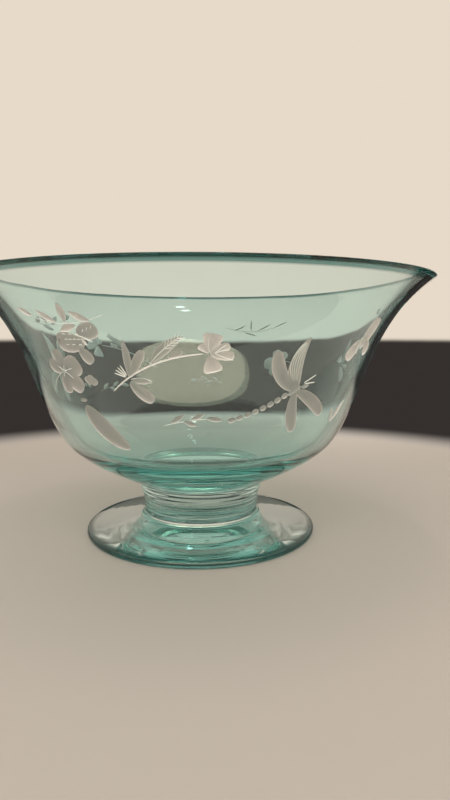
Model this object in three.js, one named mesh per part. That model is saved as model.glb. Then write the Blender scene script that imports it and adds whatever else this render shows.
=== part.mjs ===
import * as THREE from 'three';

// A wide footed bowl of sea-green blown glass. Millimetres, +Z up.
// The origin is the centre of the flat ring that the foot stands on.
// Hot glass is gathered four times: the foot, two merese rings that make the short stem, and
// the blown bowl. Each gather is pressed onto the one below, so the pieces meet on flat discs.

// Whole object
const rimDiameter = 234;
const overallHeight = 132;

// Foot: a thin disc with a low cone on top that ends in a round boss
const footDiameter = 122;
const footEdgeThickness = 3.8;
const footConeRise = 4.6;
const footBossDiameter = 60.4;
const footFilletRadius = 3.2;
const footBossHeight = 1.9;
const standingRingWidth = 8;
const footHollowDepth = 1.6;

// Stem: two merese rings, each a little wider at its top
const lowerRingBottomDiameter = 60.6;
const lowerRingTopDiameter = 61.8;
const lowerRingHeight = 7;
const upperRingBottomDiameter = 63;
const upperRingTopDiameter = 66.2;
const upperRingHeight = 7;
const ringEdgeRadius = 0.5;

// Bowl: outside shape, from the disc on the stem to the flared rim
const bowlBaseDiameter = 66.4;
const bellyDiameter = 138.4;
const bellyRise = 22.4;
const bellySlope = 52.2;
const underSlope = 28;
const rimSlope = 35.1;

// Bowl: how far each end of the two outside curves keeps its own slope
const underEase = 8;
const bellyEaseBelow = 12;
const bellyEaseAbove = 28.3;
const rimEase = 39.8;

// Bowl: thickness of the glass, rounding of its flat-topped lip, and reach of its floor's middle
const lipThickness = 2.4;
const lipOuterRadius = 0.4;
const lipInnerRadius = 1.2;
const bellyThickness = 3.6;
const floorThickness = 7.6;
const floorEase = 27;
const floorEndEase = 15;

// Fineness of the round shapes
const turnSegments = 72;
const filletSteps = 4;
const edgeSteps = 3;
const footRimSteps = 5;
const lipSteps = 3;
const underSteps = 5;
const wallSteps = 11;
const floorSteps = 7;

const quarterTurn = 90;
const radians = THREE.MathUtils.degToRad;
const point = (radius, height) => new THREE.Vector2(radius, height);
const heading = (degrees) => point(Math.cos(radians(degrees)), Math.sin(radians(degrees)));
const along = (from, direction, distance) => from.clone().addScaledVector(direction, distance);

// Points on a circular arc, both ends included, with the angles in degrees
function arc(centre, radius, startDegrees, endDegrees, steps) {
  const points = [];
  for (let step = 0; step <= steps; step += 1) {
    const degrees = THREE.MathUtils.lerp(startDegrees, endDegrees, step / steps);
    points.push(along(centre, heading(degrees), radius));
  }
  return points;
}

const glass = new THREE.MeshStandardMaterial({
  color: 0x9fd2c8,
  roughness: 0.04,
  metalness: 0,
  transparent: true,
  opacity: 0.45,
});

// A closed solid of revolution about Z. Its profile starts on the axis at the bottom, runs out
// and up the outside, and comes back to the axis at the top.
function turned(name, profile) {
  const geometry = new THREE.LatheGeometry(profile, turnSegments);
  geometry.rotateX(Math.PI / 2);
  const mesh = new THREE.Mesh(geometry, glass);
  mesh.name = name;
  return mesh;
}

// The foot stands on a flat ring just inside its edge and is hollowed a little within it
function makeFoot() {
  const radius = footDiameter / 2;
  const edgeRadius = footEdgeThickness / 2;
  const ringOuter = radius - edgeRadius;
  const ringInner = ringOuter - standingRingWidth;
  const bossRadius = footBossDiameter / 2;
  const filletCentre = point(
    bossRadius + footFilletRadius,
    footEdgeThickness + footConeRise + footFilletRadius,
  );
  const coneSlope = THREE.MathUtils.radToDeg(
    Math.atan2(footConeRise, ringOuter - filletCentre.x),
  );
  const bossTop = filletCentre.y + footBossHeight;
  const hollow = new THREE.QuadraticBezierCurve(
    point(0, footHollowDepth),
    point(ringInner / 2, footHollowDepth),
    point(ringInner, 0),
  );
  return turned('foot', [
    ...hollow.getPoints(edgeSteps),
    ...arc(
      point(ringOuter, edgeRadius),
      edgeRadius,
      -quarterTurn,
      quarterTurn - coneSlope,
      footRimSteps,
    ),
    ...arc(
      filletCentre,
      footFilletRadius,
      3 * quarterTurn - coneSlope,
      2 * quarterTurn,
      filletSteps,
    ),
    point(bossRadius, bossTop),
    point(0, bossTop),
  ]);
}

// A solid button of glass that widens upwards, with its two outer edges rounded by the heat
function makeRing(name, bottomDiameter, topDiameter, bottom, height) {
  const lowerCentre = point(bottomDiameter / 2 - ringEdgeRadius, bottom + ringEdgeRadius);
  const upperCentre = point(topDiameter / 2 - ringEdgeRadius, bottom + height - ringEdgeRadius);
  return turned(name, [
    point(0, bottom),
    ...arc(lowerCentre, ringEdgeRadius, -quarterTurn, 0, edgeSteps),
    ...arc(upperCentre, ringEdgeRadius, 0, quarterTurn, edgeSteps),
    point(0, bottom + height),
  ]);
}

// The outside is two curves that share their slope at the belly. The inside runs beside them at
// the thickness of the wall and then over the floor. The lip is flat on top, with a crisp outer
// edge and a softer inner one.
function makeBowl(bottom) {
  const base = point(bowlBaseDiameter / 2, bottom);
  const belly = point(bellyDiameter / 2, bottom + bellyRise);
  const outerLipCentre = point(rimDiameter / 2 - lipOuterRadius, overallHeight - lipOuterRadius);
  const outerLip = along(outerLipCentre, heading(rimSlope - quarterTurn), lipOuterRadius);
  const under = new THREE.CubicBezierCurve(
    base,
    along(base, heading(underSlope), underEase),
    along(belly, heading(bellySlope), -bellyEaseBelow),
    belly,
  );
  const wall = new THREE.CubicBezierCurve(
    belly,
    along(belly, heading(bellySlope), bellyEaseAbove),
    along(outerLip, heading(rimSlope), -rimEase),
    outerLip,
  );

  // Straight across the wall from the outer edge lies a point above the lip, so the inside stops
  // short of it by the length that the flat top cuts off
  const across = along(outerLip, heading(rimSlope + quarterTurn), lipThickness);
  const innerLipHeight = overallHeight - lipInnerRadius * (1 - Math.cos(radians(rimSlope)));
  const cutOff = (across.y - innerLipHeight) / Math.sin(radians(rimSlope));
  const innerLip = along(across, heading(rimSlope), -cutOff);
  const innerLipCentre = along(innerLip, heading(rimSlope + quarterTurn), -lipInnerRadius);
  const innerBelly = along(belly, heading(bellySlope + quarterTurn), bellyThickness);
  const insideWall = new THREE.CubicBezierCurve(
    innerLip,
    along(innerLip, heading(rimSlope), cutOff - rimEase),
    along(innerBelly, heading(bellySlope), bellyEaseAbove),
    innerBelly,
  );
  const floorCentre = point(0, bottom + floorThickness);
  const floor = new THREE.CubicBezierCurve(
    innerBelly,
    along(innerBelly, heading(bellySlope), -floorEndEase),
    along(floorCentre, heading(0), floorEase),
    floorCentre,
  );
  return turned('bowl', [
    point(0, bottom),
    ...under.getPoints(underSteps),
    ...wall.getPoints(wallSteps).slice(1),
    ...arc(
      outerLipCentre,
      lipOuterRadius,
      rimSlope - quarterTurn,
      quarterTurn,
      lipSteps,
    ).slice(1),
    ...arc(innerLipCentre, lipInnerRadius, quarterTurn, rimSlope + quarterTurn, lipSteps),
    ...insideWall.getPoints(wallSteps).slice(1),
    ...floor.getPoints(floorSteps).slice(1),
  ]);
}

const footTop = footEdgeThickness + footConeRise + footFilletRadius + footBossHeight;
const lowerRingTop = footTop + lowerRingHeight;
const upperRingTop = lowerRingTop + upperRingHeight;

const group = new THREE.Group();
group.add(
  makeFoot(),
  makeRing(
    'lower_merese',
    lowerRingBottomDiameter,
    lowerRingTopDiameter,
    footTop,
    lowerRingHeight,
  ),
  makeRing(
    'upper_merese',
    upperRingBottomDiameter,
    upperRingTopDiameter,
    lowerRingTop,
    upperRingHeight,
  ),
  makeBowl(upperRingTop),
);

export default group;
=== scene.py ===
# %% [markdown]
# A footed bowl of engraved sea-green glass
#
# The real bowl was gathered and blown in four goes: a bowl with a flared rim, two solid rings that
# make the stem, and a foot. An engraver then cut flowers, leaves and dragonflies into the outside
# with small stone wheels, which leave the cuts matte. The measured model holds the four pieces.
# This lesson gives each one its fine surface, its glass and its cuts.

# %% Load the measured frame
import math

import bmesh
import bpy
import numpy as np
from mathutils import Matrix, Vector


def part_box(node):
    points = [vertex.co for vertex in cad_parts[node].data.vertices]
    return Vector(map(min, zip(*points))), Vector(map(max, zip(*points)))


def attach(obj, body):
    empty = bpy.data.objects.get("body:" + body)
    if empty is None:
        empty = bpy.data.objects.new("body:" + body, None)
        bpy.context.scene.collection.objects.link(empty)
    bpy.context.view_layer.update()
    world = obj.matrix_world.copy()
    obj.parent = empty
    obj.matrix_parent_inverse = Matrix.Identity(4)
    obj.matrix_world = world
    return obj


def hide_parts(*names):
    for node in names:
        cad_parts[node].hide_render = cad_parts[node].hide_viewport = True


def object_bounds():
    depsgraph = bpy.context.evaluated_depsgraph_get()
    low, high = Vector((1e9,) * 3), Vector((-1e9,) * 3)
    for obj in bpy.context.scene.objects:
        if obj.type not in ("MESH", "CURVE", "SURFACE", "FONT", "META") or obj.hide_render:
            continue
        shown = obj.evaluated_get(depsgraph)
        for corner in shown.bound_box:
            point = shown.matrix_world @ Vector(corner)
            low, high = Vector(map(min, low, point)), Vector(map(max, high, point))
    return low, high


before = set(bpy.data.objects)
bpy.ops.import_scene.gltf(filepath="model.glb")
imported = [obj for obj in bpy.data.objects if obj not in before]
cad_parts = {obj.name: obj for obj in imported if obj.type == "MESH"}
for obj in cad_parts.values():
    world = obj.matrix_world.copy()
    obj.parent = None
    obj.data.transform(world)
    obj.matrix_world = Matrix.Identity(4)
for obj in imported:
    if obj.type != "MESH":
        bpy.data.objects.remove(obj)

MM = 0.001
cad_low, cad_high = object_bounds()
rim_radius = min(cad_high.x, cad_high.y, -cad_low.x, -cad_low.y)
bowl_height = cad_high.z
print("Across and high, in mm:", round(2 * rim_radius / MM, 1), round(bowl_height / MM, 1))

# %% [markdown]
# The camera
#
# The camera comes first, because it decides what has to look right. It stands a forearm's length in
# front of the bowl, a little below the height of the rim, and looks slightly down. Its lens is
# written as a focal length in pixels, because that is how it was measured, and turned into the
# millimetres of a 36 mm sensor on the long side of the frame.

# %% Camera
FRAME_LONG_SIDE = 800
FOCAL_PIXELS = 583
SENSOR = 36
CAMERA_PLACE = (13.1 * MM, -310.4 * MM, 106.7 * MM)
CAMERA_TILT = 6.83
NEAREST_SEEN = 10 * MM
scene = bpy.context.scene


def put(name, data):
    """Puts a mesh, a lamp or a camera into the scene at the origin."""
    thing = bpy.data.objects.new(name, data)
    scene.collection.objects.link(thing)
    return thing


camera = put("camera", bpy.data.cameras.new("camera"))
camera.location = CAMERA_PLACE
camera.rotation_euler = (math.radians(90 - CAMERA_TILT), 0, 0)
camera.data.sensor_width = SENSOR
camera.data.lens = FOCAL_PIXELS / FRAME_LONG_SIDE * SENSOR
camera.data.clip_start = NEAREST_SEEN
scene.camera = camera
print("Lens", round(camera.data.lens, 2), "mm")

# %% [markdown]
# Curves and turned surfaces
#
# Glass shows every flaw in its surface, so the shapes are worked out as whole arrays of points from
# a few curves. Everything here is one kind of surface: a tube of rings that closes in a tip at both
# ends. A turned piece is such a tube round the upright axis, and each cut of the engraver's wheel is
# a small one that lies along the wall.

# %% Curves in the plane
def heading(degrees):
    """The direction (cos a, sin a), as (outward, upward)."""
    angle = np.radians(degrees)
    return np.stack([np.cos(angle), np.sin(angle)], -1)


def arc(centre, radius, start, end, count):
    """Points on a circle: centre + radius * (cos a, sin a), with a from start to end in degrees."""
    return np.asarray(centre) + radius * heading(np.linspace(start, end, count))


def bezier(points, t):
    """The curve of the given control points: the sum of each point times C(n, k) t^k (1-t)^(n-k)."""
    points = np.asarray(points, float)
    last = len(points) - 1
    weights = [math.comb(last, k) * t**k * (1 - t) ** (last - k) for k in range(last + 1)]
    return np.stack(weights, -1) @ points


def even(points, count):
    """The same line with count points spaced evenly along its length."""
    length = lengths(points)
    places = np.linspace(0, length[-1], count)
    return np.stack([np.interp(places, length, column) for column in points.T], -1)


def lengths(points):
    """How far along the line each of its points lies."""
    return np.concatenate([[0], np.cumsum(np.linalg.norm(np.diff(points, axis=0), axis=1))])


# %% Tubes and meshes
def tube_faces(rings, sides):
    """Faces of a tube: point 0 is the first tip, then come the rings, and the last point is a tip."""
    side = np.arange(sides)
    ahead = (side + 1) % sides
    ring = 1 + sides * np.arange(rings - 1)[:, None]
    quads = np.stack([ring + side, ring + ahead, ring + sides + ahead, ring + sides + side], -1)
    top = 1 + sides * (rings - 1)
    first = np.stack([0 * side, 1 + ahead, 1 + side], -1)
    last = np.stack([0 * side + top + sides, top + side, top + ahead], -1)
    return quads.reshape(-1, 4), np.concatenate([first, last])


def starts_of(sizes):
    """Where each of these many things starts, when they stand one after the other."""
    return np.concatenate([[0], np.cumsum(sizes)[:-1]])


def mesh_from(name, points, quads, triangles):
    """A mesh whose faces are the rows of two arrays of point numbers."""
    corners = np.concatenate([quads.ravel(), triangles.ravel()])
    sizes = np.concatenate([np.full(len(quads), 4), np.full(len(triangles), 3)])
    mesh = bpy.data.meshes.new(name)
    mesh.vertices.add(len(points))
    mesh.vertices.foreach_set("co", points.ravel())
    mesh.loops.add(len(corners))
    mesh.loops.foreach_set("vertex_index", corners)
    mesh.polygons.add(len(sizes))
    mesh.polygons.foreach_set("loop_start", starts_of(sizes))
    mesh.update(calc_edges=True)
    mesh.validate()
    mesh.shade_smooth()
    return mesh


def angles(sides):
    """Equal steps round a circle, in radians."""
    return np.linspace(0, 2 * np.pi, sides, endpoint=False)


def ring_points(radius, height, angle):
    """Rings of points round the axis: x = radius cos a, y = radius sin a, z = height."""
    level = np.broadcast_to(height, (len(height), len(angle)))
    return np.stack([radius * np.cos(angle), radius * np.sin(angle), level], -1).reshape(-1, 3)


def turned(name, sides, profile, wound=None):
    """A profile from the axis out and back to the axis, (radius, height), turned round Z. Where it
    is wound, a spiral is drawn into it: the radius is less by depth * (1 + cos(phase + a)) / 2."""
    angle = angles(sides)
    radius = profile[1:-1, 0, None]
    if wound is not None:
        depth, phase = wound[1:-1, 0, None], wound[1:-1, 1, None]
        radius = radius - depth * (1 + np.cos(phase + angle)) / 2
    first_tip, last_tip = [(0, 0, profile[0, 1])], [(0, 0, profile[-1, 1])]
    rings = ring_points(radius, profile[1:-1, 1, None], angle)
    points = np.concatenate([first_tip, rings, last_tip])
    return mesh_from(name, points, *tube_faces(len(radius), sides))


# %% [markdown]
# Stage
#
# Clear glass has hardly any colour of its own: it shows what stands round it. A flat backdrop would
# leave the sides and the back with nothing to show, so a round sweep stands on every side. Its floor
# is plain and pale. Beyond that it turns dark, so that pale engraving and bright edges read against
# it, and its wall is a warm cream. The lamps light the floor. The rest of the sweep shows its
# colours as they are, so that no lamp has to reach it.

# %% Stage sizes and colours
FLOOR_RADIUS = 600 * MM
SWEEP_RADIUS = 150 * MM
SWEEP_POINTS = 17
WALL_HEIGHT = 900 * MM
STAGE_SIDES = 128
FLOOR_GAP = 0.05 * MM
FLOOR_COLOUR = (0.44, 0.41, 0.375)
DARK_COLOUR = (0.036, 0.03, 0.028)
CREAM_COLOUR = (0.80, 0.70, 0.585)
# In metres, where the pale floor ends, where the dark begins and ends, and where the cream begins
WAY_STOPS = (0.29, 0.37, 0.822, 0.834)
STAGE_ROUGHNESS = 0.8
print("The floor is pale out to", round(WAY_STOPS[0] / MM), "mm from the axis of the bowl")


# %% Helpers for shader nodes
def feed(tree, sockets, values):
    """Gives each socket its value: a number, a colour or the output of another node."""
    for socket, value in zip(sockets, values):
        if isinstance(value, bpy.types.NodeSocket):
            tree.links.new(value, socket)
        else:
            socket.default_value = (*value, 1) if isinstance(value, tuple) else value


def set_inputs(tree, node, **named):
    """Feeds the inputs of these names. An underscore stands for a space."""
    feed(tree, [node.inputs[name.replace("_", " ")] for name in named], named.values())
    return node


def new_node(tree, kind, *first, **named):
    """A new shader node, with values for its first inputs and for those that are named."""
    node = tree.nodes.new("ShaderNode" + kind)
    feed(tree, node.inputs, first)
    return set_inputs(tree, node, **named)


def calculated(tree, operation, *values):
    """The result of a maths node. Each value is a number or the output of another node."""
    node = new_node(tree, "Math", *values)
    node.operation = operation
    return node.outputs[0]


def ranged(tree, value, before, after, start=0, stop=1):
    """before where the value is at start, after where it is at stop, and evenly between them."""
    ends = {"From_Min": start, "From_Max": stop, "To_Min": before, "To_Max": after}
    return new_node(tree, "MapRange", Value=value, **ends).outputs["Result"]


def ramp_of(tree, value, stops):
    """A colour ramp that eases from stop to stop, each a place and a colour."""
    node = new_node(tree, "ValToRGB", value)
    ramp = node.color_ramp
    ramp.interpolation = "EASE"
    while len(ramp.elements) < len(stops):
        ramp.elements.new(0.5)
    for element, (position, colour) in zip(ramp.elements, stops):
        element.position = position
        element.color = (*colour, 1)
    return node.outputs["Color"]


def either_shader(tree, share, first, second):
    """A shader that goes from the first to the second as the share goes from 0 to 1."""
    return new_node(tree, "MixShader", share, first, second).outputs[0]


def object_place(tree):
    """The place of the shaded point in the object's own frame."""
    return new_node(tree, "TexCoord").outputs["Object"]


def turned_place(tree, place):
    """The distance from the upright axis, sqrt(x^2 + y^2), and the height of a place."""
    x, y, z = new_node(tree, "SeparateXYZ", Vector=place).outputs
    squares = [calculated(tree, "MULTIPLY", side, side) for side in (x, y)]
    return calculated(tree, "SQRT", calculated(tree, "ADD", *squares)), z


def seen_by(tree, *kinds):
    """1 for rays of these kinds, such as Camera or Glossy, and 0 for all others."""
    rays = new_node(tree, "LightPath").outputs
    seen = rays[f"Is {kinds[0]} Ray"]
    for kind in kinds[1:]:
        seen = calculated(tree, "MAXIMUM", seen, rays[f"Is {kind} Ray"])
    return seen


# %% Stage material
def stage_material():
    """The colour follows the way out from the middle: way = distance from the axis + height."""
    material = bpy.data.materials.new("stage")
    material.use_nodes = True
    tree = material.node_tree
    way = calculated(tree, "ADD", *turned_place(tree, object_place(tree)))
    colours = (FLOOR_COLOUR, DARK_COLOUR, DARK_COLOUR, CREAM_COLOUR)
    colour = ramp_of(tree, way, list(zip(WAY_STOPS, colours)))
    painted = tree.nodes["Principled BSDF"]
    set_inputs(tree, painted, Roughness=STAGE_ROUGHNESS, Base_Color=colour)
    shown = new_node(tree, "Emission", Color=colour)
    beyond = ranged(tree, way, 0, 1, *WAY_STOPS[:2])
    seen = seen_by(tree, "Camera", "Glossy", "Transmission")
    share = calculated(tree, "MULTIPLY", seen, beyond)
    surface = either_shader(tree, share, painted.outputs[0], shown.outputs[0])
    set_inputs(tree, tree.nodes["Material Output"], Surface=surface)
    return material


# %% Stage shape
def make_stage():
    """A floor that turns up into a wall: a flat disc, a quarter circle and an upright line."""
    bend = arc((FLOOR_RADIUS, SWEEP_RADIUS), SWEEP_RADIUS, -90, 0, SWEEP_POINTS)
    wall = FLOOR_RADIUS + SWEEP_RADIUS
    profile = np.concatenate([[(FLOOR_RADIUS / 2, 0)], bend, [(wall, WALL_HEIGHT)]])
    profile[:, 1] -= FLOOR_GAP
    rings = ring_points(profile[:, 0, None], profile[:, 1, None], angles(STAGE_SIDES))
    points = np.concatenate([[(0, 0, -FLOOR_GAP)], rings])
    quads, fans = tube_faces(len(profile), STAGE_SIDES)
    middle = fans[:STAGE_SIDES]
    mesh = mesh_from("stage", points, quads[:, ::-1], middle[:, ::-1])
    mesh.materials.append(stage_material())
    return put("stage", mesh)


stage = make_stage()
print("The stage has", len(stage.data.polygons), "faces")

# %% [markdown]
# Lamps
#
# Matte cuts show under soft light from above and from the sides. Clear glass mirrors every lamp that
# it can see, and too many glints hide its shape. So most lamps here only light things, and the glass
# sees three: a wide warm panel at the front, which lies as a pale patch on the far wall and lights
# nothing matte, and two small spots that give bright points. The sky is faint, and fainter still in
# the glass.

# %% Lamps
LAMPS_POINT_AT = (0, 0, 80 * MM)
LAMP_COLOUR = (1, 0.96, 0.91)
PANEL_COLOUR = (1, 0.80, 0.58)


def lamp(name, place, width, height, watts, seen=False, lights=True, colour=LAMP_COLOUR):
    """An oval lamp, placed and sized in metres, that points at the bowl: turn = the bearing of the
    line to the bowl, pitch = its angle from straight down. A seen one shows in the glass. One that
    doesn't light leaves matte things as they are."""
    data = bpy.data.lights.new(name, "AREA")
    data.shape = "ELLIPSE"
    data.size = width
    data.size_y = height
    data.energy = watts
    data.color = colour
    light = put(name, data)
    light.location = place
    x, y, z = np.array(LAMPS_POINT_AT) - place
    pitch = math.atan2(math.hypot(x, y), -z)
    turn = math.atan2(y, x) - math.pi / 2
    light.rotation_euler = (pitch, 0, turn)
    light.visible_camera = False
    light.visible_glossy = light.visible_transmission = seen
    light.visible_diffuse = lights


lamp("overhead", (-0.12, -0.05, 1.3), 0.7, 0.7, 4.0)
lamp("softbox", (-0.04, -0.66, 0.66), 1.3, 0.34, 4.6)
lamp("panel", (0.07, -0.36, 0.47), 1.08, 0.25, 2.7, seen=True, lights=False, colour=PANEL_COLOUR)
lamp("side_left", (-0.5, -0.35, 0.16), 0.3, 0.3, 1.0)
lamp("side_right", (0.5, -0.3, 0.16), 0.3, 0.3, 0.9)
lamp("side_back", (0.1, 0.55, 0.16), 0.3, 0.3, 1.2)
lamp("spot_near", (0.08, 0.05, 1.25), 0.04, 0.04, 1.0, seen=True)
lamp("spot_far", (0.08, 0.17, 1.25), 0.04, 0.04, 1.0, seen=True)
print("Lamps:", ", ".join(light.name for light in bpy.data.lights))

# %% Sky
SKY = 0.2
SKY_IN_GLASS = 0.04
SKY_COLOUR = (0.95, 0.97, 1.0)
world = bpy.data.worlds.new("world")
scene.world = world
world.use_nodes = True
sky_tree = world.node_tree
strength = ranged(sky_tree, seen_by(sky_tree, "Glossy", "Transmission"), SKY, SKY_IN_GLASS)
set_inputs(sky_tree, sky_tree.nodes["Background"], Strength=strength, Color=SKY_COLOUR)
print("The sky has a strength of", SKY, "and of", SKY_IN_GLASS, "in the glass")

# %% [markdown]
# Glass
#
# Each piece is a closed body of glass with air round it, so a ray that meets it bends, goes through,
# bends again and comes out. A see-through colour on a thin shell would be quicker to render, but it
# has no bright edges and no deep floor. Part of the tint comes from the depth of glass that the ray
# crossed: red dies away first, so the floor of the bowl looks deep teal. The rest lies on the
# surface, which keeps the blown wall an even mint.

# %% Glass values
GLASS_IOR = 1.5
DEPTH_COLOUR = (0.0, 0.80, 0.76)
BOWL_ABSORBED_PER_METRE = 14
RING_ABSORBED_PER_METRE = 5
FOOT_ABSORBED_PER_METRE = 1.5
CLEAR_COLOUR = (0.97, 0.99, 0.985)
BLOWN_COLOUR = (0.85, 0.965, 0.955)
# Deep teal for the glass's faint clouds, and for the painted shade on the lip and the foot's rim
CLOUD_AND_EDGE_SHADE_COLOUR = (0.03, 0.12, 0.118)
SHADOW_COLOUR = (0.84, 0.885, 0.87)
# Where the painted edge shade lies: heights on the lip, radii on the foot's rim, and heights above
# which it fades there
LIP_SHADE_PAINTED = (129.9 * MM, 130.7 * MM)
FOOT_EDGE_SHADE_PAINTED = (56.5 * MM, 59.0 * MM)
FOOT_EDGE_SHADE_TOP = (5 * MM, 6 * MM)
red_through = math.exp(-BOWL_ABSORBED_PER_METRE * 10 * MM)
print("Red light that crosses a centimetre of the bowl:", round(100 * red_through), "percent")


# %% Helpers for glass
def attribute(tree, name):
    """The output of an attribute node that reads one value of the mesh."""
    node = new_node(tree, "Attribute")
    node.attribute_name = name
    return node.outputs["Fac"]


def noise(tree, place, scale, detail):
    """Soft cloudy noise, with about this many clouds in a metre."""
    return new_node(tree, "TexNoise", Vector=place, Scale=scale, Detail=detail).outputs["Fac"]


def bumped(tree, height, distance, **below):
    """The surface's normal as if the height, from 0 to 1, stood this far proud of it. A bump that
    lies below it goes in as Normal."""
    return new_node(tree, "Bump", Height=height, Distance=distance, **below).outputs["Normal"]


def blended(tree, share, first, second):
    """A colour that goes from the first to the second. Each is a colour or the output of a node."""
    node = new_node(tree, "Mix")
    node.data_type = "RGBA"
    # The two colours are the node's inputs 6 and 7, and the colour between them is output 2
    feed(tree, (node.inputs[0], *node.inputs[6:8]), (share, first, second))
    return node.outputs[2]


# %% [markdown]
# Marks of the making
#
# Hot glass is never quite true. It has slow waves all over, and near the stem fine rings that the
# tools drew while the piece turned. They are a few tenths of a millimetre deep at most, too shallow
# for the mesh, so they are a bump. The colour is a little cloudy too. At the lip and at the rim of
# the foot the light has come a long way round inside the glass and shows dark, so both get a deep
# teal edge painted into their colour: painted shade, not the glass's own tint.

# %% Waves, rings, cloudy tint and painted edge shade
BLOWN_WAVES = 0.35 * MM
PRESSED_WAVES = 0.08 * MM
WAVES_PER_METRE = 26
TOOLING = 0.01 * MM
TOOLING_SCALE = 60
TOOLING_DISTORTION = 1.5
TOOLING_FADES = (36.8 * MM, 46 * MM)
CLOUDS_PER_METRE = 40
CLOUDINESS = 0.06


def worked_surface(tree, place, waviness):
    """The normal of hot-worked glass: waves all over, and rings that fade out above the stem."""
    waves = bumped(tree, noise(tree, place, WAVES_PER_METRE, 1), waviness)
    rings = new_node(tree, "TexWave", Vector=place)
    set_inputs(tree, rings, Scale=TOOLING_SCALE, Distortion=TOOLING_DISTORTION)
    rings.wave_type = "RINGS"
    rings.rings_direction = "Z"
    level = turned_place(tree, place)[1]
    tooled = ranged(tree, level, 1, 0, *TOOLING_FADES)
    height = calculated(tree, "MULTIPLY", rings.outputs["Fac"], tooled)
    return bumped(tree, height, TOOLING, Normal=waves)


def painted_edge_shade(tree, place):
    """How much painted edge shade shows: all of it on the lip and on the rim of the foot, and none
    elsewhere."""
    radius, level = turned_place(tree, place)
    lip = ranged(tree, level, 0, 1, *LIP_SHADE_PAINTED)
    rim = ranged(tree, radius, 0, 1, *FOOT_EDGE_SHADE_PAINTED)
    low = ranged(tree, level, 1, 0, *FOOT_EDGE_SHADE_TOP)
    return calculated(tree, "MAXIMUM", lip, calculated(tree, "MULTIPLY", rim, low))


def glass_colour(tree, place, own_colour):
    """The piece's own colour, a little cloudy, and the painted edge shade where that shows."""
    cloud = ranged(tree, noise(tree, place, CLOUDS_PER_METRE, 2), 0, CLOUDINESS)
    cloudy = blended(tree, cloud, own_colour, CLOUD_AND_EDGE_SHADE_COLOUR)
    # Painted shade: the deep teal edge on the lip and on the rim of the foot
    return blended(tree, painted_edge_shade(tree, place), cloudy, CLOUD_AND_EDGE_SHADE_COLOUR)


# %% [markdown]
# Cut glass
#
# A stone wheel leaves the glass rough: it scatters light, looks pale and hides what lies behind it.
# A second material on the cut faces would have a hard border, but a wheel leaves its middle softer
# than its rim. So the mesh carries a value, cut, that says how matte each corner is, and this one
# value drives how rough, how pale and how see-through the glass is. Its paler rims and ends are
# partly a painted highlight, and its softer, darker middles partly painted shade.

# %% Matte finish
# From the soft colour to the bright one across a cut: partly its matte tone, partly a painted
# highlight on its rim and painted shade in its middle
SOFT_COLOUR = (0.56, 0.545, 0.51)
BRIGHT_COLOUR = (0.92, 0.89, 0.85)
SOFT_UP_TO = 0.5
PALE_FROM = 0.2
ROUGHEST_FROM = 0.3
ROUGHEST = 0.6
LEAST_SEE_THROUGH = 0.05
GRAIN = 0.02 * MM
GRAINS_PER_METRE = 1400
GRAIN_SPREAD = (0.8, 1.2)


def add_matte_cuts(tree, place, glass, colour, normal):
    """Roughens the glass shader by ground = cut * grain, and gives back its colour and its normal
    with the pale ground and the grain of the stone in them."""
    cut = attribute(tree, "cut")
    grain = noise(tree, place, GRAINS_PER_METRE, 3)
    ground = calculated(tree, "MULTIPLY", cut, ranged(tree, grain, *GRAIN_SPREAD))
    rough = ranged(tree, ground, 0, ROUGHEST, 0, ROUGHEST_FROM)
    see_through = ranged(tree, ground, 1, LEAST_SEE_THROUGH)
    set_inputs(tree, glass, Roughness=rough, Transmission_Weight=see_through)
    # The ramp paints the rims of the cuts paler and their middles darker: partly their matte tone,
    # partly painted highlight and shade
    pale = ramp_of(tree, ground, [(SOFT_UP_TO, SOFT_COLOUR), (1, BRIGHT_COLOUR)])
    colour = blended(tree, ranged(tree, ground, 0, 1, 0, PALE_FROM), colour, pale)
    height = calculated(tree, "MULTIPLY", grain, cut)
    return colour, bumped(tree, height, GRAIN, Normal=normal)


# %% Glass materials
def add_depth(tree, glass, absorbed_per_metre):
    """Tints light by the depth of glass that it crosses, and lets the lamps through to the floor
    with a light tint, so that the bowl throws a soft shadow."""
    through = new_node(tree, "BsdfTransparent", Color=SHADOW_COLOUR)
    shadow = seen_by(tree, "Shadow")
    surface = either_shader(tree, shadow, glass.outputs[0], through.outputs[0])
    tint = new_node(tree, "VolumeAbsorption", Color=DEPTH_COLOUR, Density=absorbed_per_metre)
    set_inputs(tree, tree.nodes["Material Output"], Surface=surface, Volume=tint.outputs[0])


def glass_material(name, own_colour, absorbed_per_metre, waviness, engraved=False):
    """Clear glass with its tint, its painted edge shade and the marks of hot working, and matte
    cuts if it is engraved.
    Where two pieces are fused, the mesh's value joined is 1, and light goes through unbent."""
    material = bpy.data.materials.new(name)
    material.use_nodes = True
    tree = material.node_tree
    glass = tree.nodes["Principled BSDF"]
    set_inputs(tree, glass, Roughness=0, IOR=GLASS_IOR, Transmission_Weight=1)
    set_inputs(tree, glass, IOR=ranged(tree, attribute(tree, "joined"), GLASS_IOR, 1))
    place = object_place(tree)
    colour = glass_colour(tree, place, own_colour)
    normal = worked_surface(tree, place, waviness)
    if engraved:
        colour, normal = add_matte_cuts(tree, place, glass, colour, normal)
    set_inputs(tree, glass, Base_Color=colour, Normal=normal)
    add_depth(tree, glass, absorbed_per_metre)
    print(name, "has", len(tree.nodes), "nodes")
    return material


foot_material = glass_material("foot_glass", CLEAR_COLOUR, FOOT_ABSORBED_PER_METRE, PRESSED_WAVES)
ring_material = glass_material("ring_glass", CLEAR_COLOUR, RING_ABSORBED_PER_METRE, BLOWN_WAVES)
bowl_material = glass_material(
    "engraved_glass", BLOWN_COLOUR, BOWL_ABSORBED_PER_METRE, BLOWN_WAVES, engraved=True
)

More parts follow.
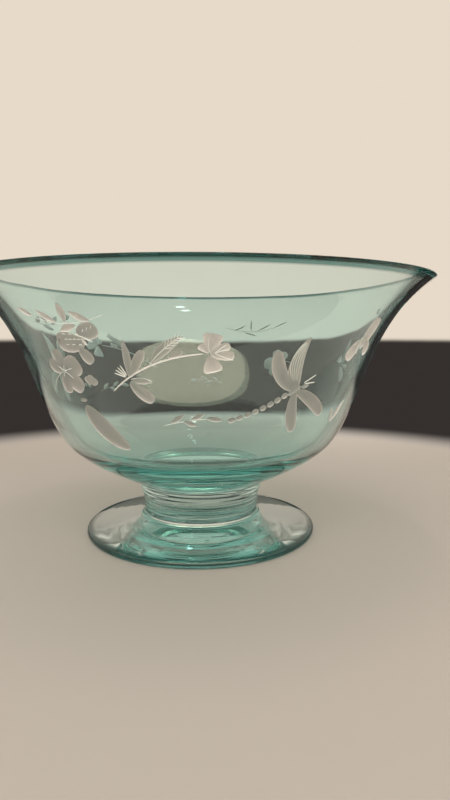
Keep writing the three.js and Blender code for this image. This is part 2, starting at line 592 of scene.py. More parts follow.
# %% [markdown]
# Fused joins
#
# The four gathers were pressed together hot, so light crosses the flat joins as if they weren't
# there. One merged mesh would show that, but then the pieces couldn't be told apart. So each piece
# stays closed and stops a hair short of the next, and its flat faces at a join are marked.

# %% Fused joins
JOIN_GAP = 0.01 * MM
NEAR_JOIN = 0.05 * MM
UPRIGHT = 0.999


def read(items, name, width=1, kind=float):
    """One value of every item of a mesh. Where it has more than one part, each item has a row."""
    values = np.empty(len(items) * width, kind)
    items.foreach_get(name, values)
    return values if width == 1 else values.reshape(-1, width)


def mark_joins(mesh, heights):
    """Gives each face 1 if it lies flat at one of the heights where two gathers were fused, or 0."""
    level = read(mesh.polygons, "center", 3)[:, 2]
    upright = np.abs(read(mesh.polygons, "normal", 3)[:, 2]) > UPRIGHT
    near = np.min(np.abs(level[:, None] - np.array(heights)), axis=1) < NEAR_JOIN
    values = (upright & near).astype(np.float32)
    mesh.attributes.new("joined", "FLOAT", "FACE").data.foreach_set("value", values)
    return int(values.sum())


foot_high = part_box("foot")[1]
lower_low, lower_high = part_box("lower_merese")
upper_low, upper_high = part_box("upper_merese")
bowl_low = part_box("bowl")[0]
joins = [foot_high.z, lower_high.z, upper_high.z]
print("Joins at", [round(height / MM, 2) for height in joins], "mm")

# %% [markdown]
# Foot and stem
#
# The foot is a thin disc that rises to a round boss, hollowed so that it stands on a flat ring.
# Each merese is a solid button of glass with its edges rounded in the fire, and the jacks that
# squeezed it while it turned have left a shallow spiral on its side. Cylinders with bevelled edges
# would come close, but a profile turned round the axis gives every rounding and closes by itself.

# %% Foot profile
TURN_SIDES = 360
EDGE_THICKNESS = 3.8 * MM
CONE_RISE = 4.6 * MM
BOSS_RADIUS = 30.2 * MM
FOOT_FILLET = 3.2 * MM
STANDING_RING = 8 * MM
HOLLOW = 1.6 * MM
BOSS_EDGE = 0.25 * MM
HOLLOW_POINTS = 17
RIM_POINTS = 19
CONE_POINTS = 9
FILLET_POINTS = 13
SHOULDER_POINTS = 6


def foot_profile():
    """From the middle of the hollow out over the standing ring, round the rim, up the cone and its
    fillet to the boss, and back to the axis."""
    edge = EDGE_THICKNESS / 2
    ring_outer = foot_high.x - edge
    ring_inner = ring_outer - STANDING_RING
    centre = np.array([BOSS_RADIUS + FOOT_FILLET, EDGE_THICKNESS + CONE_RISE + FOOT_FILLET])
    slope = math.degrees(math.atan2(CONE_RISE, ring_outer - centre[0]))
    steering = [(0, HOLLOW), (ring_inner / 2, HOLLOW), (ring_inner, 0)]
    hollow = bezier(steering, np.linspace(0, 1, HOLLOW_POINTS))
    rounded = arc((ring_outer, edge), edge, -90, 90 - slope, RIM_POINTS)
    fillet = arc(centre, FOOT_FILLET, 270 - slope, 180, FILLET_POINTS)
    cone = even(np.array([rounded[-1], fillet[0]]), CONE_POINTS)[1:-1]
    top = foot_high.z - JOIN_GAP
    shoulder = arc((BOSS_RADIUS - BOSS_EDGE, top - BOSS_EDGE), BOSS_EDGE, 0, 90, SHOULDER_POINTS)
    return np.concatenate([hollow, rounded, cone, fillet, shoulder, [(0, top)]])


print("The foot's profile has", len(foot_profile()), "points")

# %% Ring profile
RING_EDGE = 0.5 * MM
LOWER_RING_BOTTOM = 30.3 * MM
UPPER_RING_BOTTOM = 31.5 * MM
EDGE_POINTS = 9
SIDE_POINTS = 40
SPIRAL_DEPTH = 0.09 * MM
SPIRAL_TURNS = 2.5


def ring_profile(bottom_radius, top_radius, bottom, top):
    """A button of glass that widens upwards: a round edge, a slanting side and a round edge. Beside
    each point stand the depth and the phase of the spiral, which fades out towards both edges:
    depth = greatest depth * sqrt(sin(pi t)), phase = 2 pi * turns * t."""
    bottom, top = bottom + JOIN_GAP, top - JOIN_GAP
    lower = arc((bottom_radius - RING_EDGE, bottom + RING_EDGE), RING_EDGE, -90, 0, EDGE_POINTS)
    upper = arc((top_radius - RING_EDGE, top - RING_EDGE), RING_EDGE, 0, 90, EDGE_POINTS)
    t = np.linspace(0, 1, SIDE_POINTS)[1:-1]
    side = lower[-1] + t[:, None] * (upper[0] - lower[-1])
    profile = np.concatenate([[(0, bottom)], lower, side, upper, [(0, top)]])
    wound = np.zeros_like(profile)
    depth = SPIRAL_DEPTH * np.sqrt(np.sin(np.pi * t))
    wound[1 + len(lower) : -1 - len(upper)] = np.stack([depth, 2 * np.pi * SPIRAL_TURNS * t], -1)
    return profile, wound


lower_profile = ring_profile(LOWER_RING_BOTTOM, lower_high.x, lower_low.z, lower_high.z)
upper_profile = ring_profile(UPPER_RING_BOTTOM, upper_high.x, upper_low.z, upper_high.z)
print("Each ring's profile has", len(lower_profile[0]), "points")


# %% Foot and rings
SHARP_ANGLE = math.radians(35)


def finished(mesh, material, node):
    """Puts a piece into the scene in place of its node of the measured model."""
    mesh.materials.append(material)
    piece = put(mesh.name, mesh)
    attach(piece, "root")
    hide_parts(node)


for node, profile, material in [
    ("foot", (foot_profile(),), foot_material),
    ("lower_merese", lower_profile, ring_material),
    ("upper_merese", upper_profile, ring_material),
]:
    mesh = turned(node + "_glass", TURN_SIDES, *profile)
    mesh.set_sharp_from_angle(angle=SHARP_ANGLE)
    fused = mark_joins(mesh, joins)
    print(node, len(mesh.polygons), "faces,", fused, "fused")
    finished(mesh, material, node)

# %% [markdown]
# Bowl
#
# The bowl was spun while it was blown, so it is a turned piece too. A subdivided cylinder pushed
# into shape would leave flats that glass shows at once. Here two curves that share their slope at
# the belly make the outside. The inside runs beside the upper one at the thickness of the wall and
# then over the floor. The blower trims and reheats the rim, so the lip is flat on top, with a crisp
# outer edge and a softer inner one.

# %% Bowl sizes
BASE_RADIUS = 33.2 * MM
BELLY = np.array([36.0, 22.4]) * MM
BELLY_SLOPE = 52.2
UNDER_SLOPE = 28
RIM_SLOPE = 35.1
UNDER_EASE = 8 * MM
BELLY_EASE_BELOW = 12 * MM
BELLY_EASE_ABOVE = 28.3 * MM
RIM_EASE = 39.8 * MM
LIP = 2.4 * MM
LIP_OUTER = 0.4 * MM
LIP_INNER = 1.2 * MM
WALL = 3.6 * MM
FLOOR = 7.6 * MM
FLOOR_EASE = 27 * MM
FLOOR_END_EASE = 15 * MM
print("The wall is", round(WALL / MM, 1), "mm at the belly and", round(LIP / MM, 1), "mm at the lip")

# %% Outside of the bowl
CURVE_POINTS = 401
OUTSIDE_POINTS = 64
INSIDE_POINTS = 56
belly_way = heading(BELLY_SLOPE)
rim_way = heading(RIM_SLOPE)


def eased(start, leaving, end, arriving):
    """The curve that leaves the start along one vector and reaches the end along the other. It is
    steered by start, start + leaving, end - arriving and end."""
    steering = [start, start + leaving, end - arriving, end]
    return bezier(steering, np.linspace(0, 1, CURVE_POINTS))


base = np.array([BASE_RADIUS, bowl_low.z + JOIN_GAP])
belly = np.array([BASE_RADIUS, bowl_low.z]) + BELLY
outer_lip_centre = np.array([rim_radius, bowl_height]) - LIP_OUTER
outer_lip = outer_lip_centre + LIP_OUTER * heading(RIM_SLOPE - 90)
under = eased(base, UNDER_EASE * heading(UNDER_SLOPE), belly, BELLY_EASE_BELOW * belly_way)
wall = eased(belly, BELLY_EASE_ABOVE * belly_way, outer_lip, RIM_EASE * rim_way)
outside = np.concatenate([under, wall[1:]])
print("Up the outside it is", round(lengths(outside)[-1] / MM, 1), "mm from the stem to the lip")

# %% Inside of the bowl
# The flat top cuts off the last of the wall's inside, so the inside stops short of the full width
across_lip = outer_lip + LIP * heading(RIM_SLOPE + 90)
inner_lip_height = bowl_height - LIP_INNER * (1 - math.cos(math.radians(RIM_SLOPE)))
cut_off = (across_lip[1] - inner_lip_height) / math.sin(math.radians(RIM_SLOPE))
inner_lip = across_lip - cut_off * rim_way
inner_lip_centre = inner_lip - LIP_INNER * heading(RIM_SLOPE + 90)
inner_belly = belly + WALL * heading(BELLY_SLOPE + 90)
floor_middle = np.array([0, bowl_low.z + FLOOR])
down_wall = -BELLY_EASE_ABOVE * belly_way
inner_wall = eased(inner_lip, (cut_off - RIM_EASE) * rim_way, inner_belly, down_wall)
to_middle = -FLOOR_EASE * heading(0)
floor = eased(inner_belly, -FLOOR_END_EASE * belly_way, floor_middle, to_middle)
inside = np.concatenate([inner_wall, floor[1:]])
outer_line = arc(outer_lip_centre, LIP_OUTER, RIM_SLOPE - 90, 90, EDGE_POINTS)
inner_line = arc(inner_lip_centre, LIP_INNER, 90, RIM_SLOPE + 90, EDGE_POINTS)
lip = np.concatenate([outer_line[1:], inner_line[:-1]])
rows = [[(0, base[1])], even(outside, OUTSIDE_POINTS), lip, even(inside, INSIDE_POINTS)]
bowl_profile = np.concatenate(rows)
print("The bowl's profile has", len(bowl_profile), "points")

# %% [markdown]
# Engraving
#
# The engraver holds the bowl under a spinning stone wheel. A touch leaves an olive-shaped hollow, a
# pull leaves a furrow, and a twist leaves a petal that is steep at its outer end. So every stroke is
# one small closed body: a line that the wheel follows, a half width that swells and fades along it,
# and a rounded section. The strokes are laid on the wall by distance round it and up it, and then
# cut out of the glass, so the pattern is real relief and not a picture.

# %% The wall as a place to draw on
outside_length = lengths(outside)
outside_way = np.gradient(outside, axis=0)
outside_way /= np.linalg.norm(outside_way, axis=1)[:, None]
outside_normal = np.stack([outside_way[:, 1], -outside_way[:, 0]], -1)
steepest = np.degrees(np.arctan2(outside_way[:, 1], outside_way[:, 0])).max()
print("The wall is steepest at", round(steepest, 1), "degrees from level")


def on_wall(across, up, rise, turn, height):
    """The point that lies across mm to the right and up mm along the wall from the place at turn
    degrees and height mm, and stands rise mm proud of the glass:
    angle = turn + across / radius, point = wall(angle, length) + rise * normal."""
    start = np.interp(height * MM, outside[:, 1], outside_length)
    length = start + up * MM
    radius, level, out, lift = (
        np.interp(length, outside_length, column)
        for column in (*outside.T, *outside_normal.T)
    )
    angle = math.radians(turn) + across * MM / radius
    radius = radius + rise * MM * out
    level = level + rise * MM * lift
    return np.stack([radius * np.sin(angle), -radius * np.cos(angle), level], -1)


# %% Strokes of the wheel
LEAF = (1.0, 1.0)
PETAL = (0.52, 0.34)
FAN = (0.9, 0.22)
WING = (0.4, 0.72)
OLIVE = (0.5, 0.5)
FURROW = (0.3, 0.3)
CLEAR, SOFT, PALE, BRIGHT = 0, 1, 2, 3
FINISH_NAMES = ("clear", "soft", "pale", "bright")
# How matte each finish is in the middle of a cut and at its rim. The paler rim is partly a painted
# highlight, the softer middle partly painted shade
MIDDLE_GROUND_AND_SHADE = (0, 0.22, 0.62, 0.9)
RIM_GROUND_AND_HIGHLIGHT = (0, 0.9, 1.0, 1.0)
print("Finishes:", ", ".join(FINISH_NAMES))


def stroke(line, half_width, depth, ends, finish=SOFT):
    """One touch of the wheel, in mm on the flat: the points that steer its line, its greatest half
    width and depth, how blunt its two ends are, and how matte the stone left it."""
    return [np.asarray(line, float), half_width, depth, ends, finish]


def furrow(line, half_width, depth):
    """A thin bright line of the sharp wheel."""
    return stroke(line, half_width, depth, FURROW, BRIGHT)


def placed(strokes, turn, height, tilt=0, size=1, mirrored=False):
    """The strokes of one motif with their place on the wall. On the flat they are mirrored, scaled
    and turned anticlockwise by tilt degrees: across = x cos a - y sin a, up = x sin a + y cos a."""
    angle = math.radians(tilt)
    spin = np.array([[math.cos(angle), math.sin(angle)], [-math.sin(angle), math.cos(angle)]])
    flip = np.array([-1 if mirrored else 1, 1])
    return [
        (line * size * flip @ spin, half_width * size, depth, ends, finish, turn, height)
        for line, half_width, depth, ends, finish in strokes
    ]


# %% Body of a stroke
STATIONS_IN_HALF_WIDTH = 3
FEWEST_STATIONS = 9
MOST_STATIONS = 27
BROAD_FROM = 0.6
BROAD_SIDES = 16
NARROW_SIDES = 10


def stroke_body(line, half_width, depth, ends, finish, turn, height):
    """The closed body that a stroke takes away, and how matte it leaves the glass at each point.
    With t along the line and a round the section: across = half width * swell(t) * cos a,
    rise = depth * sqrt(swell(t)) * sin a, where swell(t) = t^p (1-t)^q, brought to a greatest value
    of 1. The stone leaves the middle softer than the rim, and the paler rim and far end are also a
    painted highlight, the softer middle painted shade: ground = middle + (rim - middle)
    (1 - |sin a| (1 - t/2))."""
    wanted = lengths(line)[-1] / half_width * STATIONS_IN_HALF_WIDTH
    stations = int(np.clip(wanted, FEWEST_STATIONS, MOST_STATIONS))
    sides = BROAD_SIDES if half_width > BROAD_FROM else NARROW_SIDES
    t = (1 - np.cos(np.linspace(0, np.pi, stations))) / 2
    spine = bezier(line, t)
    way = np.gradient(spine, axis=0)
    way /= np.linalg.norm(way, axis=1)[:, None]
    left = np.stack([-way[:, 1], way[:, 0]], -1)
    swell = t ** ends[0] * (1 - t) ** ends[1]
    swell /= swell.max()
    angle = angles(sides)
    reach = half_width * (swell[:, None] * left)[1:-1, None]
    flat = spine[1:-1, None] + reach * np.cos(angle)[:, None]
    rise = depth * np.sqrt(swell)[1:-1, None] * np.sin(angle)
    rings = on_wall(flat[..., 0], flat[..., 1], rise, turn, height).reshape(-1, 3)
    tips = on_wall(spine[[0, -1], 0], spine[[0, -1], 1], 0, turn, height)
    points = np.concatenate([tips[:1], rings, tips[1:]])
    # A paler rim and far end: partly matte, partly a painted highlight; the softer middle partly
    # painted shade
    middle, rim = MIDDLE_GROUND_AND_SHADE[finish], RIM_GROUND_AND_HIGHLIGHT[finish]
    inward = np.abs(np.sin(angle)) * (1 - t[1:-1, None] / 2)
    ground = np.concatenate([[rim], (rim - (rim - middle) * inward).ravel(), [rim]])
    return points, ground, *tube_faces(stations - 2, sides), finish


# %% [markdown]
# Motifs
#
# Each motif is a handful of strokes in mm on the flat. The engraver draws flowers, leaves and
# insects from a small stock of touches, so the same few shapes come back in new sizes: a blunt
# petal, a pointed blade, a row of olives, and thin bright lines for stalks, veins and feelers. They
# could be drawn as one outline each, but strokes are what the wheel really makes.

# %% Petals, stars and blades
PETAL_START = 0.06
RAY_START = 0.3
RAY_HALF_WIDTH = 0.24
BLADE_DEPTH = 0.55
VEIN_LEAN = 34
VEIN_REACH = 1.35
LAST_VEIN = 0.86


def around(centre, reach, degrees):
    """The point at that reach and bearing from the centre, with 0 degrees straight up:
    centre + reach * (-sin a, cos a)."""
    angle = math.radians(degrees)
    return np.array(centre) + reach * np.array([-math.sin(angle), math.cos(angle)])


def petals(centre, fan, depth=0.65, ends=PETAL, finish=SOFT):
    """Blunt petals that spring from the centre, each with its own bearing, reach and half width."""
    strokes = []
    for bearing, reach, width in fan:
        line = [around(centre, reach * PETAL_START, bearing), around(centre, reach, bearing)]
        strokes.append(stroke(line, width, depth, ends, finish))
    return strokes


def star(centre, rays, start=RAY_START, depth=0.95):
    """Bright lines that spring from the centre, each with its own bearing and reach."""
    strokes = []
    for bearing, reach in rays:
        line = [around(centre, start, bearing), around(centre, reach, bearing)]
        strokes.append(furrow(line, RAY_HALF_WIDTH, depth))
    return strokes


def blade(root, tip, half_width, bend=0.0, ends=LEAF, finish=SOFT):
    """A leaf or blade from root to tip that bows to its left by a share of its length: the point
    that steers it is halfway + bend * (the run from root to tip, turned a quarter to the left)."""
    root, tip = np.array(root, float), np.array(tip, float)
    run = tip - root
    middle = (root + tip) / 2 + bend * np.array([-run[1], run[0]])
    return stroke([root, middle, tip], half_width, BLADE_DEPTH, ends, finish)


def veined_leaf(root, tip, half_width, veins, bend, first):
    """A blade with a bright midrib and pairs of short veins that lean towards its tip."""
    body = blade(root, tip, half_width, bend)
    line = body[0]
    strokes = [body, furrow(line, 0.2, 0.95)]
    run = line[-1] - line[0]
    bearing = math.degrees(math.atan2(-run[0], run[1]))
    for start in bezier(line, np.linspace(first, LAST_VEIN, veins)):
        for lean in (VEIN_LEAN, -VEIN_LEAN):
            end = around(start, half_width * VEIN_REACH, bearing + lean)
            strokes.append(furrow([start, end], 0.18, 0.9))
    return strokes


# %% Flower and bud
def open_flower():
    """Five rounded petals that lap over each other, with a star of bright cuts on the heart."""
    fan = [(4, 10.2, 3.5), (66, 9.2, 3.2), (-70, 12.0, 4.7), (-133, 11.9, 4.2), (173, 10.2, 3.1)]
    rays = [(64, 4.4), (-76, 5.4), (-130, 5.6), (-12, 2.6), (150, 3.2)]
    stalk = furrow([(-1, -0.5), (-8, -3), (-12, -10)], 0.18, 0.4)
    return petals((0, 0), fan) + star((0, 0), rays) + [stalk]


def bud():
    """Three short petals that have just opened."""
    return petals((0, 0), [(40, 4.2, 1.5), (-2, 4.6, 1.6), (-44, 4.2, 1.5)], depth=0.35)


print("An open flower takes", len(open_flower()), "strokes")


# %% Sprays and leaves
def top_spray(fullness=1.0, finish=PALE):
    """A long bowed stalk with four leaves and an upright blade, as broad as fullness says."""
    leaves = [
        ((-16.5, 0.6), (-24.5, 4.6), 1.45, 0),
        ((-3.6, -2.4), (-12.6, 3.0), 1.6, 0.06),
        ((0.8, -2.8), (2.2, 6.4), 2.0, -0.06),
        ((13.6, -2.2), (5.0, 2.2), 1.8, 0.08),
        ((6.0, -4.0), (-3.6, -6.6), 1.6, -0.05),
    ]
    strokes = [furrow([(-22, 3.4), (-9, -5.0), (6, -4.8), (20.6, 0.5)], 0.15, 0.3)]
    for root, tip, width, bend in leaves:
        strokes.append(blade(root, tip, width * fullness, bend, finish=finish))
    return strokes


def low_spray():
    """Four small leaves on either side of a stalk that is hardly there."""
    return [
        furrow([(-13, -4.4), (-4, -1.6), (5, -1.2)], 0.13, 0.3),
        blade((-9.8, -3.0), (-4.6, 0.8), 1.15),
        blade((-5.0, -2.2), (0.6, -4.4), 1.15),
        blade((-1.8, -1.5), (3.5, 1.2), 1.1),
        blade((4.0, -1.0), (11.0, -2.2), 1.2, 0.08),
    ]


def leaf_cluster():
    """Two upright blades, a spray of thin spikes and two low leaves, all from one root."""
    return [
        blade((0, 0), (0.4, 17), 1.6, -0.05),
        blade((0.6, 0.5), (7.8, 12.0), 2.0, 0.04, PETAL),
        blade((0.5, -1.2), (9.2, -1.8), 1.4, 0.12),
        blade((0.2, -1.4), (8.8, -9.8), 2.7, -0.08, PETAL),
        furrow([(0.6, -0.4), (5.0, 1.2), (9.4, -1.2)], 0.2, 0.5),
        *star((0, 0), [(bearing, 6.4) for bearing in (28, 42, 56, 70)], start=1.6, depth=0.45),
    ]


def hanging_leaf():
    """A broad bowed leaf that hangs from a small knot."""
    return [
        blade((-0.3, -0.4), (15.2, -20.7), 5.0, -0.12, OLIVE),
        stroke([(-2.8, 1.9), (1.2, 2.2)], 0.8, 0.4, OLIVE),
    ]


def folded_leaf():
    """A leaf folded along its rib, drawn as two blades with a bright edge."""
    return [
        blade((0, -5.5), (6.4, 5.0), 1.5, finish=PALE),
        blade((-0.6, -5.2), (-3.0, 2.4), 1.2, finish=PALE),
        furrow([(0.6, -5.0), (7.2, 5.2)], 0.2, 0.5),
    ]


# %% Long-stemmed flower
def long_stem_flower():
    """A long bright stalk that bows over to a flower, with a toothed leaf above it."""
    strokes = [furrow([(-36.9, -16.4), (-22, -1.2), (0, 0.2)], 0.42, 0.5)]
    strokes += veined_leaf((-20.6, -3.9), (-7.8, 7.9), 2.3, 5, bend=0.06, first=0.48)
    strokes.append(blade((-13.4, -0.9), (-8.0, 1.6), 1.6, -0.1, PETAL))
    heart = (2.2, 0.2)
    broad = [(-12, 8.8, 3.8), (-166, 8.2, 3.7), (40, 5.2, 1.8)]
    narrow = [(-64, 8.8, 1.8), (-96, 9.8, 2.2)]
    strokes += petals(heart, broad, ends=FAN, finish=PALE)
    strokes += petals(heart, narrow, depth=0.45, finish=PALE)
    for end in [(9.6, 4.2), (10.4, 2.0), (11.6, -2.6)]:
        strokes.append(furrow([(4.4, 0.4), (7.2, (0.4 + end[1]) * 0.62), end], 0.22, 0.9))
    strokes.append(furrow([(2.6, 1.0), (1.6, 4.0), (2.4, 7.8)], 0.2, 0.9))
    return strokes


print("The long-stemmed flower takes", len(long_stem_flower()), "strokes")


# %% Dragonfly
def dragonfly():
    """Four long wings, a thorax, a row of beads for the tail, and a head with two feelers."""
    root = np.array([1.6, -0.8])
    wings = [
        ((-10.5, 17.1), 3.1, 0.26, PETAL),
        ((2.8, 23.0), 3.4, 0.24, WING),
        ((5.2, -20.4), 2.8, -0.12, PETAL),
        ((20.4, -13.3), 3.0, 0.12, PETAL),
    ]
    strokes = [blade(root, tip, width, bend, ends) for tip, width, bend, ends in wings]
    for share in np.linspace(-1, 1, 5):
        line = [(1.0 + 0.9 * share, 3.4), (-3.4 + 3.8 * share, 12.0), (1.7 + 0.5 * share, 20.4)]
        strokes.append(furrow(line, 0.2, 0.95))
    tail = bezier([(-3.0, -2.8), (-13, -9.4), (-24.2, -12.9)], np.linspace(0, 1, 8))
    leans = np.linspace((1.36, 0.84), (1.58, 0.18), 8)
    for place, lean in zip(tail, leans):
        strokes.append(stroke([place - lean, place + lean], 1.3, 0.6, OLIVE))
    strokes.append(stroke([(-1.4, -2.6), (4.0, 1.2)], 1.5, 0.6, OLIVE))
    strokes.append(stroke([(4.4, 0.6), (8.2, 1.6)], 0.9, 0.4, OLIVE))
    for start, end in (((5.4, 2.6), (11.2, 6.0)), ((5.8, 2.2), (11.4, 2.6))):
        strokes.append(furrow([start, end], 0.22, 0.45))
    return strokes


print("A dragonfly takes", len(dragonfly()), "strokes")


# %% Butterfly
def butterfly(finish=SOFT):
    """A large rounded wing and two smaller ones round a slim body, with rows of nicks on them."""
    strokes = [
        blade((0.5, 1), (-14.6, 1.6), 4.6, 0.04, PETAL, finish),
        blade((-3.5, -1.4), (1.2, -8.0), 2.9, 0, PETAL, finish),
        blade((-2.2, 4), (8.6, 7.2), 3.7, 0.05, PETAL, finish),
    ]
    for row, count in enumerate((3, 4, 3)):
        for place in np.linspace(-10.5, -3.5, count):
            nick = np.array([place, 4.2 - 2.4 * row])
            strokes.append(furrow([nick, nick + (0.9, 0.9), nick + (1.8, 0.1)], 0.22, 0.95))
    for x in (0.5, 2.7, 4.9):
        strokes.append(furrow([(x, 5.2 + x * 0.3), (x + 1.2, 6.6 + x * 0.3)], 0.22, 0.95))
    strokes.append(furrow([(-4.5, 4.6), (0.6, 3.4), (4.2, 1.2)], 0.24, 0.9))
    strokes.append(stroke([(-1.4, 2.6), (1.2, 0.0)], 0.9, 0.6, OLIVE, BRIGHT))
    return strokes


print("A butterfly takes", len(butterfly()), "strokes")

# %% [markdown]
# The way round the bowl
#
# The pattern is a loose band below the rim. At the front stand a group with a spray, a butterfly and
# a flower, then leaves, the long-stemmed flower and the dragonfly. The rest of the band brings the
# same motifs back in another order and at other heights, as an engraver would who fills the glass by
# eye. An even repeat would be simpler, but it looks printed.

# %% The pattern round the bowl
# Each motif has the angle from the front and the height in mm at which it sits
pattern = [
    placed(top_spray(), -31, 112),
    placed(butterfly(), -27, 101),
    placed(open_flower(), -38.2, 89.8),
    placed(bud(), -28.8, 84.6, tilt=-10),
    placed(hanging_leaf(), -33, 75.9),
    placed(leaf_cluster(), -16.4, 87.9),
    placed(long_stem_flower(), 3.1, 97.6),
    placed(low_spray(), 1, 72.5),
    placed(dragonfly(), 28.6, 82.8),
    placed(butterfly(finish=PALE), 53, 99.5, tilt=72, mirrored=True),
    placed(folded_leaf(), 50.7, 70.5),
    placed(open_flower(), 86, 90, mirrored=True),
    placed(top_spray(), 84, 113, mirrored=True),
    placed(leaf_cluster(), 106, 86, mirrored=True),
    placed(open_flower(), 145, 86, tilt=-30, size=0.9),
    placed(top_spray(fullness=0.28, finish=SOFT), 160, 109),
    placed(low_spray(), 180, 74),
    placed(long_stem_flower(), 228, 97),
    placed(low_spray(), 226, 72, mirrored=True),
    placed(top_spray(), 252, 112),
    placed(dragonfly(), 258, 84),
    placed(open_flower(), 284, 88, size=0.9),
]
bodies = [stroke_body(*one) for motif in pattern for one in motif]
print("The pattern has", len(pattern), "motifs and", len(bodies), "strokes")

# %% [markdown]
# Cutting
#
# A painted mask would show the pattern, but light catches only a real hollow at its rim. So every
# stroke is cut out with a Boolean modifier. Its Manifold solver is quick and keeps the bowl closed,
# and the new faces take over the finish and the ground of the cutter. The strokes of one cutter
# mustn't overlap, so those that do go into different passes. Where two cuts just meet, slivers
# without thickness can stay behind, and they are taken out.

# %% Passes of the cutter
def deal_out(bodies):
    """Deals the bodies into passes in which no two boxes meet, because bodies that overlap can't be
    cut away in one go."""
    lows = np.array([body[0].min(axis=0) for body in bodies])
    highs = np.array([body[0].max(axis=0) for body in bodies])
    passes = []
    for number in range(len(bodies)):
        for members in passes:
            apart = (lows[members] > highs[number]) | (highs[members] < lows[number])
            if apart.any(axis=1).all():
                members.append(number)
                break
        else:
            passes.append([number])
    return passes


# %% Cutters
def add_finishes(mesh):
    """Gives the mesh one material for each finish, so that a face's number says how it was left."""
    for name in FINISH_NAMES:
        mesh.materials.append(bpy.data.materials.get(name) or bpy.data.materials.new(name))


def set_ground(mesh, ground):
    """Stores how matte the glass is at each corner, read from the corner's point."""
    values = ground[read(mesh.loops, "vertex_index", kind=np.int32)].astype(np.float32)
    mesh.attributes.new("cut", "FLOAT", "CORNER").data.foreach_set("value", values)


def cutter(name, bodies):
    """One mesh of many stroke bodies, whose faces carry the finish that they leave."""
    points, grounds, quads, fans, finishes = zip(*bodies)
    starts = starts_of([len(some) for some in points])
    quads = [some + start for some, start in zip(quads, starts)]
    fans = [some + start for some, start in zip(fans, starts)]
    mesh = mesh_from(name, *map(np.concatenate, (points, quads, fans)))
    add_finishes(mesh)
    of_quads = np.repeat(finishes, [len(some) for some in quads])
    of_fans = np.repeat(finishes, [len(some) for some in fans])
    mesh.polygons.foreach_set("material_index", np.concatenate([of_quads, of_fans]))
    set_ground(mesh, np.concatenate(grounds))
    return put(name, mesh)


# %% Leftovers of cutting
SAME_POINT = 0.00002 * MM


def drop_leftovers(mesh):
    """Splits the faces into triangles, joins the points that lie in the same place, and takes out
    what has no thickness: two triangles back to back on the same three points."""
    shape = bmesh.new()
    shape.from_mesh(mesh)
    bmesh.ops.triangulate(shape, faces=shape.faces[:])
    bmesh.ops.remove_doubles(shape, verts=shape.verts[:], dist=SAME_POINT)
    shape.to_mesh(mesh)
    points = np.sort(read(mesh.loops, "vertex_index", kind=np.int32).reshape(-1, 3))
    _, alike, count = np.unique(points, axis=0, return_inverse=True, return_counts=True)
    doubled = np.flatnonzero(count[alike.ravel()] > 1)
    shape.faces.ensure_lookup_table()
    bmesh.ops.delete(shape, geom=[shape.faces[face] for face in doubled], context="FACES")
    shape.to_mesh(mesh)
    shape.free()
    return len(doubled)


# %% Cut the pattern into the bowl
bowl_mesh = turned("bowl_blank", TURN_SIDES, bowl_profile)
add_finishes(bowl_mesh)
set_ground(bowl_mesh, np.zeros(len(bowl_mesh.vertices)))
bowl = put("bowl_glass", bowl_mesh)
tools = [
    cutter(f"cutter_{number}", [bodies[member] for member in members])
    for number, members in enumerate(deal_out(bodies))
]
for tool in tools:
    cut = bowl.modifiers.new(tool.name, "BOOLEAN")
    cut.operation = "DIFFERENCE"
    cut.solver = "MANIFOLD"
    cut.material_mode = "INDEX"
    cut.object = tool
depsgraph = bpy.context.evaluated_depsgraph_get()
engraved_mesh = bpy.data.meshes.new_from_object(bowl.evaluated_get(depsgraph))
bowl.modifiers.clear()
bowl.data = engraved_mesh
for tool in tools:
    bpy.data.objects.remove(tool)
leftovers = drop_leftovers(engraved_mesh)
print(leftovers, "faces without thickness taken out")
print("After", len(tools), "passes the bowl has", len(engraved_mesh.polygons), "triangles")

# %% [markdown]
# Crisp edges
#
# Ground glass meets polished glass at a crisp edge, while the polished wall has to stay as smooth as
# it was before the cut. Smooth shading alone would round the edges and dent the wall around them. So
# the edges between finishes are marked sharp, and every corner of the polished wall gets back the
# normal of the turned surface.

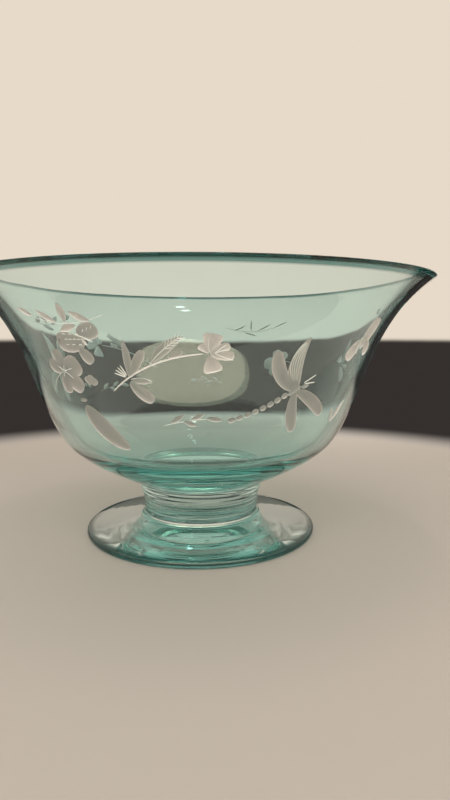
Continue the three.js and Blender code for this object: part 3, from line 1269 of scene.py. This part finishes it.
# %% Edges between finishes
def mark_edges(mesh):
    """Makes an edge crisp wherever the finish changes, and says which corners lie in a cut."""
    finish = read(mesh.polygons, "material_index", kind=np.int32)
    print("Faces clear, soft, pale and bright:", np.bincount(finish, minlength=len(FINISH_NAMES)))
    mesh.polygons.foreach_set("material_index", np.zeros_like(finish))
    sizes = read(mesh.polygons, "loop_total", kind=np.int32)
    edge = read(mesh.loops, "edge_index", kind=np.int32)
    order = np.argsort(edge, kind="stable")
    pairs = np.repeat(finish, sizes)[order].reshape(-1, 2)
    crisp = np.zeros(len(mesh.edges), bool)
    crisp[edge[order][::2]] = pairs[:, 0] != pairs[:, 1]
    mesh.set_sharp_from_angle(angle=SHARP_ANGLE)
    name = "sharp_edge"
    sharp = mesh.attributes.get(name) or mesh.attributes.new(name, "BOOLEAN", "EDGE")
    sharp.data.foreach_set("value", crisp | read(sharp.data, "value", kind=bool))
    return np.repeat(finish != CLEAR, sizes)


# %% The wall's own normals
NEAR_WALL = 0.05 * MM


def true_normals(mesh, cut_corners):
    """Puts back the turned wall's own normals where cutting has split its faces, worked out from the
    profile: normal = (out cos a, out sin a, lift) at each corner of a clear face."""
    corner_point = read(mesh.loops, "vertex_index", kind=np.int32)
    x, y, z = read(mesh.vertices, "co", 3)[corner_point].T
    normals = read(mesh.corner_normals, "vector", 3)
    radius = np.hypot(x, y)
    wall = np.interp(z, outside[:, 1], outside[:, 0])
    near_wall = np.abs(radius - wall) < NEAR_WALL
    kept = ~cut_corners & near_wall & (z > belly[1]) & (z < outer_lip[1])
    out, lift = (np.interp(z[kept], outside[:, 1], column) for column in outside_normal.T)
    normals[kept] = np.stack([out * x[kept] / radius[kept], out * y[kept] / radius[kept], lift], -1)
    mesh.normals_split_custom_set(normals)
    print(int(kept.sum()), "corners keep the wall's own normal")


cut_corners = mark_edges(engraved_mesh)
engraved_mesh.materials.clear()
engraved_mesh.materials.append(bowl_material)
fused = mark_joins(engraved_mesh, joins)
print(fused, "faces fused")
true_normals(engraved_mesh, cut_corners)
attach(bowl, "root")
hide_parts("bowl")

# %% [markdown]
# Settings
#
# A ray can cross the bowl's wall, its floor, the stem and the foot before it leaves the glass, so it
# is allowed many bounces. Bright caustics on the floor would take very many samples and stay noisy,
# so they are off and the soft shadow stands in for them.

# %% Settings
MOST_BOUNCES = 32
scene.view_settings.view_transform = "Standard"
scene.cycles.max_bounces = MOST_BOUNCES
scene.cycles.transmission_bounces = MOST_BOUNCES
scene.cycles.transparent_max_bounces = MOST_BOUNCES
scene.cycles.glossy_bounces = MOST_BOUNCES // 2
scene.cycles.caustics_reflective = False
scene.cycles.caustics_refractive = False
